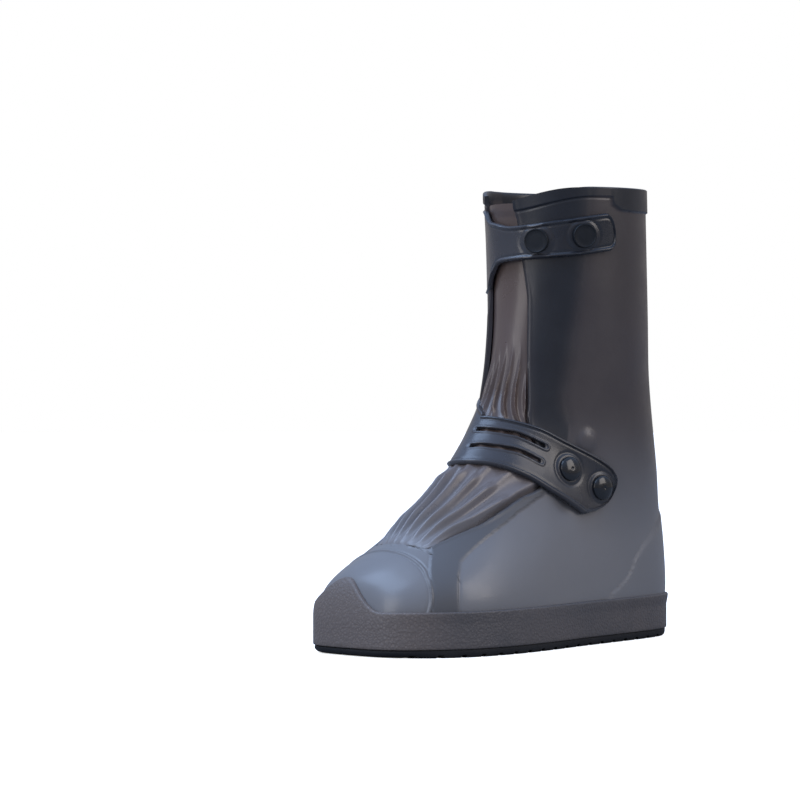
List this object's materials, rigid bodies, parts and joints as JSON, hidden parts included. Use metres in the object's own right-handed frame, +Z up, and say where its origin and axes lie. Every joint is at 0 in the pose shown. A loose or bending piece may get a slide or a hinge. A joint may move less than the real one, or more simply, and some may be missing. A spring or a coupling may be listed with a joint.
{
  "type": "rain shoe cover",
  "caption": "Moulded translucent rain shoe cover, shin high, with a folded front gusset, a collar strap and an instep strap held by snaps, a rand with toe bumper and a treaded outsole.",
  "frame": {"origin": "on the floor, under the middle of the whole shoe cover's box", "axes": "+Z up, toe towards -Y, outer side of the left foot towards +X"},
  "size_m": [0.106, 0.265, 0.2801],
  "materials": {
    "smoky_shell": "satin translucent moulded PVC, smoky grey",
    "thin_gusset": "thin satin translucent PVC, brownish smoky grey",
    "strap": "satin translucent PVC, dark smoky grey",
    "rand": "fine leather grain, matte dark grey",
    "outsole": "matte black",
    "snap_cap": "glossy black",
    "snap_stud": "matte black"
  },
  "bodies": {
    "root": {"upper": "smoky_shell", "tongue_gusset": "thin_gusset", "top_strap": "strap", "instep_strap": "strap", "rand": "rand", "outsole": "outsole", "top_snap_cap_1": "snap_cap", "top_snap_cap_2": "snap_cap", "instep_snap_cap_1": "snap_cap", "instep_snap_cap_2": "snap_cap", "top_snap_stud_1": "snap_stud", "top_snap_stud_2": "snap_stud", "instep_snap_stud_1": "snap_stud", "instep_snap_stud_2": "snap_stud"}
  },
  "joints": []
}
